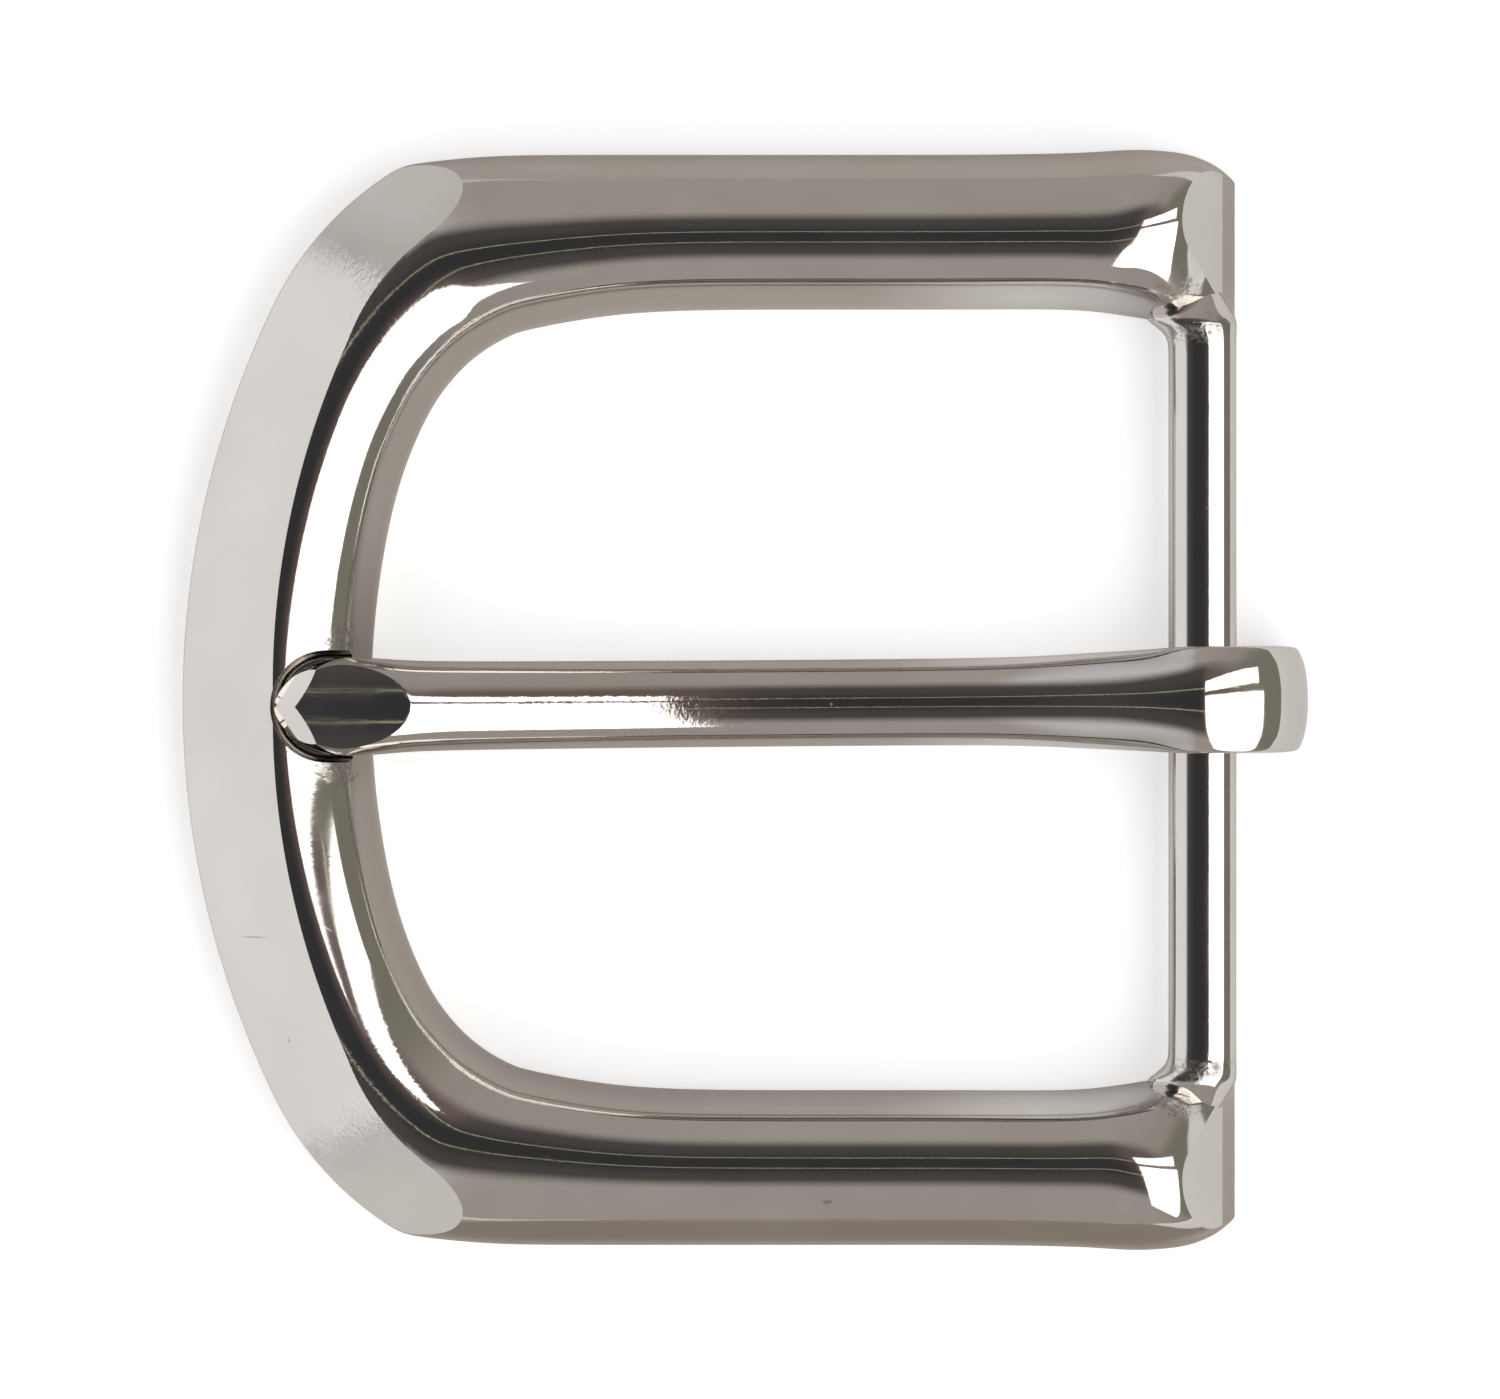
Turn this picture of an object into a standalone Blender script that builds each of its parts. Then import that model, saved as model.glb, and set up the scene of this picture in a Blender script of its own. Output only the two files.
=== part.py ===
"""A heel-bar belt buckle for a 35 mm strap: a horseshoe frame cast in one with its
heel bar, and a single tongue hooked round that bar.

Metres, +Z out of the front face, +X towards the heel bar, back of the frame at z = 0.
"""

import math

import bmesh
import bpy

# Frame: overall form
FRAME_FRONT_X = -0.0263
FRAME_HEEL_X = 0.02286
FRAME_CROWN_Z = 0.0060
FRAME_WALL_Z = 0.0015
FRAME_BACK_EDGE = 0.0003
OPENING_FRONT_X = -0.01742
# Each chain of arcs starts on the centre line heading for +Y and turns towards +X.
OUTER_ARCS = ((0.0422, 26.0), (0.0150, 31.5), (0.0032, 24.5), (0.0400, 8.0))
INNER_ARCS = ((0.0400, 12.0), (0.0200, 15.0), (0.0082, 43.0), (0.0130, 16.0), (0.0800, 4.0))
FACET_ARCS = OUTER_ARCS[:2]
# Distances along the inner chain that face the joints of the outer arcs, and the number of
# sections between each two of them
INNER_KNOTS = (0.0, 0.0095, 0.0163, 0.0180)
FRONT_STEPS = (9, 6, 3, 3)
ARM_STEPS = 9
CROWN_STEPS = 14

# Frame: arm ends, where the crown dips to a crease and a steep facet drops to the heel
DIP_START_X = 0.0150
CREASE_X = 0.0207
CREASE_SCALE = 0.77
BAR_ROOT_WALL_Z = 0.0034
HEEL_EDGE_Z = 0.0012
HEEL_CORNER = 0.0014
CORNER_START_X = 0.0220
CORNER_START_INSET = 0.0003
DIP_STEPS = 4

# Frame: the crescent facet ground on the front
FACET_EDGE_Z = 0.0016
FACET_SLOPES = (0.97, 1.08, 1.30)
FACET_RUN_ON = 0.010
FACET_OUT = 0.0015
FACET_IN = 0.0065
FACET_STEPS = (9, 7, 1)

# Frame: heel bar and the seat for the tongue's tip
BAR_X = 0.02125
BAR_Z = 0.00265
BAR_HALF_WIDTH = 0.0016
BAR_HALF_HEIGHT = 0.0011
BAR_HALF_LENGTH = 0.0179
BAR_ROOT_LENGTH = 0.0015
BAR_ROOT_SCALE = 0.5
BAR_SIDES = 20
SEAT_OVERRUN = 0.003
SEAT_STEPS = 14
SEAT_FLOOR_Z = 0.0041
SEAT_RADIUS = 0.0027
SEAT_CENTRE_X = -0.01925

# Tongue: (x, top z, thickness, width) from the tip to the rise before the bar
PRONG = (
    (-0.02165, 0.00545, 0.0008, 0.0010),
    (-0.02125, 0.00572, 0.0012, 0.0024),
    (-0.02050, 0.00598, 0.0015, 0.0036),
    (-0.01950, 0.00610, 0.0017, 0.0044),
    (-0.01840, 0.00612, 0.0017, 0.00465),
    (-0.01660, 0.00612, 0.0017, 0.0046),
    (-0.01500, 0.00602, 0.0018, 0.0043),
    (-0.01200, 0.00548, 0.0019, 0.0042),
    (-0.00700, 0.00472, 0.0020, 0.0042),
    (-0.00200, 0.00428, 0.0020, 0.00415),
    (0.00400, 0.00415, 0.0020, 0.00415),
    (0.01100, 0.00415, 0.0020, 0.00415),
    (0.01450, 0.00445, 0.0019, 0.0043),
    (0.01700, 0.00492, 0.0018, 0.0046),
    (0.01860, 0.00522, 0.0018, 0.0048),
)
TIP_ROWS = 3
UNDERSIDE_LEAN = 0.7
# Half a section of the tongue: half-widths across, and how far down it they lie
TONGUE_PROFILE = ((0.55, 0.05), (0.86, 0.20), (1.0, 0.52), (0.90, 0.86), (0.62, 1.0))
# Tongue: the thick heel that wraps the bar
HEEL_CROWN_X = 0.0202
HEEL_CROWN_Z = 0.00535
HEEL_END_X = 0.0263
HEEL_END_Z = 0.0006
HEEL_WIDTH = 0.00505
HOOK_THICKNESS = 0.00080
HOLE_HALF_HEIGHT = 0.00174
HOLE_HALF_LENGTH = 0.0021
HOLE_START_DEG = 148.0
HOLE_TURN_DEG = -38.0
HOOK_START_DEG = -52.0
HOOK_END_DEG = -172.0
HOOK_CORNER = 0.0030
HOOK_TAPER = 0.9
WRAP_STEPS = 8


def along(start_x, arcs, distance):
    """The point and heading after a distance along a chain of arcs, then straight on."""
    x, y, heading = start_x, 0.0, 0.0
    for radius, turn in arcs:
        step = min(distance, radius * math.radians(turn))
        after = heading + step / radius
        x += radius * (math.cos(heading) - math.cos(after))
        y += radius * (math.sin(after) - math.sin(heading))
        heading = after
        distance -= step
    return x + distance * math.sin(heading), y + distance * math.cos(heading), heading


def chain_length(arcs):
    return sum(radius * math.radians(turn) for radius, turn in arcs)


def mixed(low, high, share):
    return low + (high - low) * share


def front_stations():
    """Pairs of outer and inner points, from the centre line to where the arms run straight."""
    outer_knots = [chain_length(OUTER_ARCS[:count]) for count in range(len(OUTER_ARCS) + 1)]
    inner_knots = [*INNER_KNOTS, chain_length(INNER_ARCS[:3])]
    for zone, steps in enumerate(FRONT_STEPS):
        for step in range(steps):
            share = step / steps
            outer = mixed(outer_knots[zone], outer_knots[zone + 1], share)
            inner = mixed(inner_knots[zone], inner_knots[zone + 1], share)
            yield (
                along(FRAME_FRONT_X, OUTER_ARCS, outer)[:2],
                along(OPENING_FRONT_X, INNER_ARCS, inner)[:2],
            )


def arm_stations():
    """Pairs of points along the straight arm, up to where its crown starts to dip."""
    start_x, outer_y, _ = along(FRAME_FRONT_X, OUTER_ARCS, chain_length(OUTER_ARCS))
    inner_start = chain_length(INNER_ARCS[:3])
    inner_x = along(OPENING_FRONT_X, INNER_ARCS, inner_start)[0]
    for step in range(ARM_STEPS + 1):
        share = step / ARM_STEPS
        x = mixed(start_x, DIP_START_X, share)
        inner = inner_start + mixed(0.0, DIP_START_X - inner_x, share)
        yield (x, outer_y), along(OPENING_FRONT_X, INNER_ARCS, inner)[:2]


def section(outer, inner, crown_z, inner_wall_z=FRAME_WALL_Z):
    """A half-round section over straight walls, from the outer outline to the inner one."""
    width = math.dist(outer, inner)
    edge = FRAME_BACK_EDGE / width
    profile = [(edge, 0.0), (0.0, FRAME_BACK_EDGE)]
    for step in range(CROWN_STEPS + 1):
        angle = math.pi * step / CROWN_STEPS
        wall_z = FRAME_WALL_Z if 2 * step < CROWN_STEPS else inner_wall_z
        profile.append(((1.0 - math.cos(angle)) / 2.0, mixed(wall_z, crown_z, math.sin(angle))))
    profile += [(1.0, FRAME_BACK_EDGE), (1.0 - edge, 0.0)]
    return [
        (mixed(outer[0], inner[0], share), mixed(outer[1], inner[1], share), z)
        for share, z in profile
    ]


def frame_rings():
    """The sections of one half of the frame, from the centre line to the heel face."""
    stations = list(front_stations()) + list(arm_stations())
    rings = [section(outer, inner, FRAME_CROWN_Z) for outer, inner in stations]
    outer_y = stations[-1][0][1]
    inner_y = stations[-1][1][1]
    for step in range(1, DIP_STEPS + 1):
        share = step / DIP_STEPS
        x = mixed(DIP_START_X, CREASE_X, share)
        crown_z = FRAME_CROWN_Z * mixed(1.0, CREASE_SCALE, share**2)
        inner_wall_z = mixed(FRAME_WALL_Z, BAR_ROOT_WALL_Z, share**2)
        rings.append(section((x, outer_y), (x, inner_y), crown_z, inner_wall_z))
    crease = rings[-1]
    for x, pulled_in in ((CORNER_START_X, CORNER_START_INSET), (FRAME_HEEL_X, HEEL_CORNER)):
        share = (x - CREASE_X) / (FRAME_HEEL_X - CREASE_X)
        ring = []
        for _, y, z in crease:
            in_from_edge = (y - inner_y) / (outer_y - inner_y)
            lowered = mixed(z, min(z, HEEL_EDGE_Z), share)
            ring.append((x, y - pulled_in * in_from_edge, lowered))
        rings.append(ring)
    return rings


def mirrored(rings):
    """The rings of the -Y half, heel first, so that both halves make one run."""
    return [[(x, -y, z) for x, y, z in ring] for ring in reversed(rings[1:])] + rings


def loft(name, rings):
    """A closed object through rings of equal length, with its two ends capped."""
    mesh = bpy.data.meshes.new(name)
    bm = bmesh.new()
    loops = [[bm.verts.new(point) for point in ring] for ring in rings]
    for first, second in zip(loops, loops[1:]):
        for index in range(len(first)):
            after = (index + 1) % len(first)
            bm.faces.new((first[index], first[after], second[after], second[index]))
    bm.faces.new(loops[0])
    bm.faces.new(loops[-1])
    bmesh.ops.recalc_face_normals(bm, faces=bm.faces)
    bm.to_mesh(mesh)
    bm.free()
    obj = bpy.data.objects.new(name, mesh)
    bpy.context.scene.collection.objects.link(obj)
    return obj


def guide(obj):
    """Marks an object as a helper for a Boolean and not a piece."""
    obj.hide_render = True
    obj.display_type = "WIRE"
    return obj


def heel_bar():
    """The bar's rounded section, run from arm to arm, with a tapered root inside each."""
    root_y = BAR_HALF_LENGTH + BAR_ROOT_LENGTH
    rings = []
    for y, scale in (
        (-root_y, BAR_ROOT_SCALE),
        (-BAR_HALF_LENGTH, 1.0),
        (BAR_HALF_LENGTH, 1.0),
        (root_y, BAR_ROOT_SCALE),
    ):
        ring = []
        for side in range(BAR_SIDES):
            angle = 2.0 * math.pi * side / BAR_SIDES
            x = BAR_X + BAR_HALF_WIDTH * (scale * math.cos(angle) + (scale - 1.0) / 2.0)
            z = BAR_Z + BAR_HALF_HEIGHT * (scale * math.sin(angle) + (scale - 1.0))
            ring.append((x, y, z))
        rings.append(ring)
    return guide(loft("heel_bar_guide", rings))


def facet_cutter():
    """What is ground off the front: everything above a slope that follows the front edge."""
    lengths = [chain_length(FACET_ARCS[:1]), chain_length(FACET_ARCS)]
    knots = [0.0, *lengths, lengths[-1] + FACET_RUN_ON]
    slopes = [*FACET_SLOPES, FACET_SLOPES[-1]]
    rings = []
    for zone, steps in enumerate(FACET_STEPS):
        last = zone == len(FACET_STEPS) - 1
        for step in range(steps + last):
            share = step / steps
            distance = mixed(knots[zone], knots[zone + 1], share)
            slope = mixed(slopes[zone], slopes[zone + 1], share)
            x, y, heading = along(FRAME_FRONT_X, FACET_ARCS, distance)
            ring = []
            for inward in (-FACET_OUT, FACET_IN):
                across = (x + inward * math.cos(heading), y - inward * math.sin(heading))
                ring.append((*across, FACET_EDGE_Z + inward * slope))
            ring.append((*ring[1][:2], 2.0 * FRAME_CROWN_Z))
            ring.append((*ring[0][:2], 2.0 * FRAME_CROWN_Z))
            rings.append(ring)
    return guide(loft("front_facet_cutter", mirrored(rings)))


def seat_cutter():
    """The U-shaped seat for the tongue's tip, open towards the strap window."""
    open_x = OPENING_FRONT_X + SEAT_OVERRUN
    outline = [(open_x, -SEAT_RADIUS), (open_x, SEAT_RADIUS)]
    for step in range(SEAT_STEPS + 1):
        angle = math.pi * step / SEAT_STEPS
        x = SEAT_CENTRE_X - SEAT_RADIUS * math.sin(angle)
        outline.append((x, SEAT_RADIUS * math.cos(angle)))
    rings = [[(x, y, z) for x, y in outline] for z in (SEAT_FLOOR_Z, 2.0 * FRAME_CROWN_Z)]
    return guide(loft("tip_seat_cutter", rings))


def join_or_cut(obj, other, operation):
    modifier = obj.modifiers.new(other.name, "BOOLEAN")
    modifier.operation = operation
    modifier.solver = "EXACT"
    modifier.object = other


def nickel(name, color, roughness):
    """Bright nickel plate over a die-cast body."""
    material = bpy.data.materials.new(name)
    material.use_nodes = True
    shader = material.node_tree.nodes["Principled BSDF"]
    shader.inputs["Base Color"].default_value = color
    shader.inputs["Metallic"].default_value = 1.0
    shader.inputs["Roughness"].default_value = roughness
    return material


def make_frame():
    frame = loft("frame", mirrored(frame_rings()))
    join_or_cut(frame, heel_bar(), "UNION")
    join_or_cut(frame, facet_cutter(), "DIFFERENCE")
    join_or_cut(frame, seat_cutter(), "DIFFERENCE")
    frame.data.materials.append(nickel("frame_nickel", (0.66, 0.62, 0.58, 1.0), 0.12))
    frame.data.shade_smooth()
    frame.data.set_sharp_from_angle(angle=math.radians(35.0))
    return frame


def tongue_section(top, under, width):
    """A section between a point of the outer side and one of the inner side: crowned
    outside, with its widest line half way, and flatter inside."""
    left = [(-across, share) for across, share in reversed(TONGUE_PROFILE)]
    ring = []
    for across, share in [(0.0, 0.0), *TONGUE_PROFILE, *left]:
        x = mixed(top[0], under[0], share)
        z = mixed(top[1], under[1], share)
        ring.append((x, across * width / 2.0, z))
    return ring


def prong_rings():
    """Sections square to the prong's length, upright at the tip and leaning after it."""
    rings = []
    for index, (x, top_z, thickness, width) in enumerate(PRONG):
        slope = 0.0
        if index > TIP_ROWS:
            before = PRONG[index - 1]
            after = PRONG[min(index + 1, len(PRONG) - 1)]
            slope = (after[1] - before[1]) / (after[0] - before[0])
        under = (x + thickness * slope * UNDERSIDE_LEAN, top_z - thickness)
        rings.append(tongue_section((x, top_z), under, width))
    return rings


def heel_rings():
    """Sections fanned round the hole: a long sweep outside, then a thin hook below."""
    hole_x = BAR_X - HOLE_HALF_HEIGHT + HOLE_HALF_LENGTH
    rings = []
    for step in range(WRAP_STEPS + 1):
        share = step / WRAP_STEPS
        outside = math.pi / 2.0 * share
        inside = math.radians(mixed(HOLE_START_DEG, HOLE_TURN_DEG, share))
        top = (
            HEEL_CROWN_X + (HEEL_END_X - HEEL_CROWN_X) * math.sin(outside),
            HEEL_END_Z + (HEEL_CROWN_Z - HEEL_END_Z) * math.cos(outside),
        )
        under = (
            hole_x + HOLE_HALF_LENGTH * math.cos(inside),
            BAR_Z + HOLE_HALF_HEIGHT * math.sin(inside),
        )
        rings.append(tongue_section(top, under, HEEL_WIDTH))
    for step in range(WRAP_STEPS + 1):
        share = step / WRAP_STEPS
        angle = math.radians(mixed(HOOK_START_DEG, HOOK_END_DEG, share))
        under = (
            hole_x + HOLE_HALF_LENGTH * math.cos(angle),
            BAR_Z + HOLE_HALF_HEIGHT * math.sin(angle),
        )
        top = (
            under[0] + (HOOK_CORNER if step == 0 else HOOK_THICKNESS) * math.cos(angle),
            under[1] + HOOK_THICKNESS * math.sin(angle),
        )
        width = HEEL_WIDTH * mixed(1.0, HOOK_TAPER, share)
        rings.append(tongue_section(top, under, width))
    return rings


def make_tongue():
    """The tongue, with its origin on the heel bar's axis."""
    rings = prong_rings() + heel_rings()
    rings = [[(x - BAR_X, y, z - BAR_Z) for x, y, z in ring] for ring in rings]
    tongue = loft("tongue", rings)
    tongue.location = (BAR_X, 0.0, BAR_Z)
    tongue.data.materials.append(nickel("tongue_nickel", (0.64, 0.60, 0.56, 1.0), 0.14))
    tongue.data.shade_smooth()
    tongue.data.set_sharp_from_angle(angle=math.radians(40.0))
    return tongue


for existing in list(bpy.data.objects):
    bpy.data.objects.remove(existing)
make_frame()
make_tongue()
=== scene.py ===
import math

import bmesh
import bpy
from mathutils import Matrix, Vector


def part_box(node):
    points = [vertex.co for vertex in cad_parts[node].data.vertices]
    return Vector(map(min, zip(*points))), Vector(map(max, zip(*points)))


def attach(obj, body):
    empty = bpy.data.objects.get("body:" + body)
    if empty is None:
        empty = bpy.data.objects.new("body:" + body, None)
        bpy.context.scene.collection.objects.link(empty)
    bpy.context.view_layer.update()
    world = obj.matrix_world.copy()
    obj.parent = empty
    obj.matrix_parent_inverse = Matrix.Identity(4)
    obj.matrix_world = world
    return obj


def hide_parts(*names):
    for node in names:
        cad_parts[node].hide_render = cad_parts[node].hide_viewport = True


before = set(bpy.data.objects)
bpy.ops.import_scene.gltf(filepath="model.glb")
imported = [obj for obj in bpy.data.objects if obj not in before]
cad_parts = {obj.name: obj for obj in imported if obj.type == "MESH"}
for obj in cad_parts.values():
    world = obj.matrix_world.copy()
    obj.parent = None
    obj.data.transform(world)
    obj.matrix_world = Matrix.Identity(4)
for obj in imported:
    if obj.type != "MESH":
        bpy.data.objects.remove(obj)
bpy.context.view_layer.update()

# ---------------------------------------------------------------------------
# The frame. A horseshoe with two straight arms, die-cast in zinc in one with
# its heel bar, then linished on the front to a crescent facet, polished and
# plated with bright nickel. The strap folds round the heel bar.
# ---------------------------------------------------------------------------

frame_low, frame_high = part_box("frame")
FRONT_X = frame_low[0]
HEEL_X = frame_high[0]
CROWN_Z = frame_high[2]
WINDOW_FRONT_X = FRONT_X + 0.00888
WALL_Z = 0.0015
CROWN_SHARE = 0.50
# Each outline is a chain of (radius, degrees) from the centre line, turning to the heel.
OUTER_ARCS = ((0.0422, 26.0), (0.0150, 31.5), (0.0032, 24.5), (0.0400, 8.0))
WINDOW_ARCS = ((0.0400, 12.0), (0.0200, 15.0), (0.0082, 43.0), (0.0130, 16.0), (0.0800, 4.0))
# Distances along the window's outline that lie across from the joints of the outer arcs
WINDOW_KNOTS = (0.0, 0.0095, 0.0163, 0.0180)
FRONT_STEPS = (7, 6, 3, 3)
ARM_STEPS = 6
# The arm's end: x, outer y, inner y, and height as a share of the crown's
ARM_END = (
    (0.0152, 0.02550, 0.01820, 1.000),
    (0.0168, 0.02560, 0.01802, 1.000),
    (0.0176, 0.02566, 0.01790, 1.000),
    (0.0184, 0.02568, 0.01778, 0.997),
    (0.0191, 0.02565, 0.01765, 0.982),
    (0.0197, 0.02560, 0.01755, 0.950),
    (0.0202, 0.02555, 0.01748, 0.898),
    (0.0207, 0.02545, 0.01744, 0.825),
    (0.0212, 0.02530, 0.01741, 0.740),
    (0.0218, 0.02505, 0.01740, 0.640),
    (0.0225, 0.02460, 0.01740, 0.520),
    (0.0236, 0.02340, 0.01740, 0.380),
    (0.0246, 0.02300, 0.01745, 0.340),
)
# The crest leans a little over the window round the curve, and away from it at the arm's end
CURVE_END_TURN = 85.0
CURVE_CREST_LEAN = 0.000008
END_CREST_X = 0.0174
END_CREST_LEAN = -0.00007
# The planes that cut an arm off: x, z and tilt of each
ARM_CUTS = ((0.02067, 0.0046, 57.0), (0.02220, 0.00224, 70.0), (HEEL_X, 0.0, 90.0))
FACET_EDGE_Z = 0.00215
FACET_SLOPES = (0.85, 0.91, 0.985)
SEAT_CENTRE_X = -0.01935
SEAT_CENTRE_Y = -0.0003
SEAT_RADIUS = 0.0026
SEAT_FLOOR_Z = 0.0041
BAR_X = 0.02125
BAR_Z = 0.00265
BAR_HALF_WIDTH = 0.0016
BAR_HALF_HEIGHT = 0.0011
# The bar's flattened top: from and to which share of its half height, and how much wider
BAR_FLATS = ((0.9, 1.1, 1.5), (0.8, 0.9, 1.15))
# Half the bar's run, from the middle into the arm: step, how much wider and taller, moved by
BAR_RUN = (
    (0.0020, 1.0, 1.0, 0.0, 0.0),
    (0.0138, 1.0, 1.0, 0.0, 0.0),
    (0.0008, 1.0, 1.0, 0.0, 0.0),
    (0.0004, 1.05, 1.03, -0.00008, 0.0),
    (0.0004, 1.15, 1.08, -0.00022, 0.00002),
    (0.0004, 1.15, 1.05, -0.00026, -0.0001),
    (0.0008, 0.70, 0.75, 0.0, -0.0003),
    (0.0008, 0.60, 0.60, 0.0, -0.0003),
)
# Edges that turn by less than this many degrees are shaded as one smooth surface
SMOOTH_BELOW = 11.0
# A ring starts with a radius of 1 mm, so it is scaled by its size in millimetres
MM = 1000.0


def along(start_x, arcs, distance):
    """The point and heading after a distance along a chain of arcs, then straight on."""
    x, y, heading = start_x, 0.0, 0.0
    for radius, degrees in arcs:
        step = min(distance, radius * math.radians(degrees))
        after = heading + step / radius
        x += radius * (math.cos(heading) - math.cos(after))
        y += radius * (math.sin(after) - math.sin(heading))
        heading = after
        distance -= step
    return x + distance * math.sin(heading), y + distance * math.cos(heading), heading


def chain_length(arcs):
    return sum(radius * math.radians(degrees) for radius, degrees in arcs)


def steps_between(low, high, count):
    """Count evenly spaced values from low up to, and not including, high."""
    return [low + (high - low) * step / count for step in range(count)]


def begin_piece(name, points):
    """Adds a circle of radius 1 mm in the plane Y = 0, open for editing."""
    if bpy.context.mode != "OBJECT":
        bpy.ops.object.mode_set(mode="OBJECT")
    bpy.ops.object.select_all(action="DESELECT")
    bpy.ops.mesh.primitive_circle_add(vertices=points, radius=0.001)
    bpy.context.object.name = name
    bpy.ops.object.mode_set(mode="EDIT")
    bpy.ops.mesh.select_mode(type="VERT")
    bpy.ops.mesh.select_all(action="SELECT")
    bpy.ops.transform.rotate(value=math.pi / 2.0, orient_axis="X", center_override=(0.0, 0.0, 0.0))


def end_piece():
    """Leaves edit mode with the faces pointing out, and returns the piece."""
    bpy.ops.mesh.select_all(action="SELECT")
    bpy.ops.mesh.remove_doubles(threshold=0.000002)
    bpy.ops.mesh.normals_make_consistent(inside=False)
    bpy.ops.object.mode_set(mode="OBJECT")
    return bpy.context.object


def pick(test):
    """Selects the points whose place passes the test, and nothing else."""
    mesh = bmesh.from_edit_mesh(bpy.context.object.data)
    for point in mesh.verts:
        point.select = test(point.co)
    mesh.select_flush_mode()
    bmesh.update_edit_mesh(bpy.context.object.data)


def narrow(test):
    """Keeps only the selected points that pass the test, and returns all that were."""
    mesh = bmesh.from_edit_mesh(bpy.context.object.data)
    chosen = [point.index for point in mesh.verts if point.select]
    for point in mesh.verts:
        point.select = point.select and test(point.co)
    mesh.select_flush_mode()
    return chosen


def select_again(chosen):
    mesh = bmesh.from_edit_mesh(bpy.context.object.data)
    mesh.verts.ensure_lookup_table()
    for index in chosen:
        mesh.verts[index].select = True
    mesh.select_flush_mode()


def apply_modifier(obj, kind, **settings):
    """Adds a modifier with these settings and applies it."""
    bpy.context.view_layer.objects.active = obj
    modifier = obj.modifiers.new(kind.lower(), kind)
    for setting, value in settings.items():
        setattr(modifier, setting, value)
    bpy.ops.object.modifier_apply(modifier=modifier.name)


def mirror_across_strap(obj):
    apply_modifier(
        obj, "MIRROR", use_axis=(False, True, False), use_clip=True, merge_threshold=0.00001
    )


def combine(obj, other, operation):
    """Joins another solid to this one, or cuts with it, and uses it up."""
    apply_modifier(obj, "BOOLEAN", operation=operation, solver="EXACT", object=other)
    bpy.data.objects.remove(other)


def turn_about(degrees_right, x, y):
    """Turns the selection clockwise, seen from above, about a point."""
    bpy.ops.transform.rotate(
        value=math.radians(degrees_right), orient_axis="Z", center_override=(x, y, 0.0)
    )


def carry_section(before, after):
    """Extrudes the open end to the next station: (x, y, degrees right, width, height)."""
    bpy.ops.mesh.extrude_region_move()
    x, y, turn, width, height = before
    turn_about(-turn, x, y)
    bpy.ops.transform.resize(
        value=(after[3] / width, 1.0, after[4] / height), center_override=(x, y, 0.0)
    )
    turn_about(after[2], x, y)
    bpy.ops.transform.translate(value=(after[0] - x, after[1] - y, 0.0))


def station(outer, inner, height):
    """A section's place: its middle, how far it is turned, its width and its height."""
    width = math.dist(outer, inner)
    turn = math.degrees(math.atan2(outer[1] - inner[1], inner[0] - outer[0]))
    return (outer[0] + inner[0]) / 2.0, (outer[1] + inner[1]) / 2.0, turn, width, height


def horseshoe_stations():
    """The frame's sections from the middle of the front to the heel end of one arm."""
    outer_knots = [chain_length(OUTER_ARCS[:count]) for count in range(len(OUTER_ARCS) + 1)]
    inner_knots = [*WINDOW_KNOTS, chain_length(WINDOW_ARCS[:3])]
    for zone, count in enumerate(FRONT_STEPS):
        outer_steps = steps_between(outer_knots[zone], outer_knots[zone + 1], count)
        inner_steps = steps_between(inner_knots[zone], inner_knots[zone + 1], count)
        for outer, inner in zip(outer_steps, inner_steps):
            yield station(
                along(FRONT_X, OUTER_ARCS, outer)[:2],
                along(WINDOW_FRONT_X, WINDOW_ARCS, inner)[:2],
                1.0,
            )
    straight_x = along(FRONT_X, OUTER_ARCS, outer_knots[-1])[0]
    inner_x = along(WINDOW_FRONT_X, WINDOW_ARCS, inner_knots[-1])[0]
    outer_run = steps_between(straight_x, ARM_END[0][0], ARM_STEPS)
    inner_run = steps_between(inner_x, ARM_END[0][0], ARM_STEPS)
    for x, run_x in zip(outer_run, inner_run):
        inner = along(WINDOW_FRONT_X, WINDOW_ARCS, inner_knots[-1] + run_x - inner_x)[:2]
        outer = along(FRONT_X, OUTER_ARCS, outer_knots[-1] + x - straight_x)[:2]
        yield station(outer, inner, 1.0)
    for x, outer_y, inner_y, height in ARM_END:
        yield station((x, outer_y), (x, inner_y), height)


def lean_crest(place_now, inward):
    """Leans the top of the open end over the window, or away from it, most at its crest."""
    turn, height = math.radians(place_now[2]), place_now[4]
    for share in (0.60, 0.77, 0.88):
        ring = narrow(lambda place: place.z > share * CROWN_Z * height)
        bpy.ops.transform.translate(
            value=(inward * math.cos(turn), -inward * math.sin(turn), 0.0)
        )
        select_again(ring)


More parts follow.
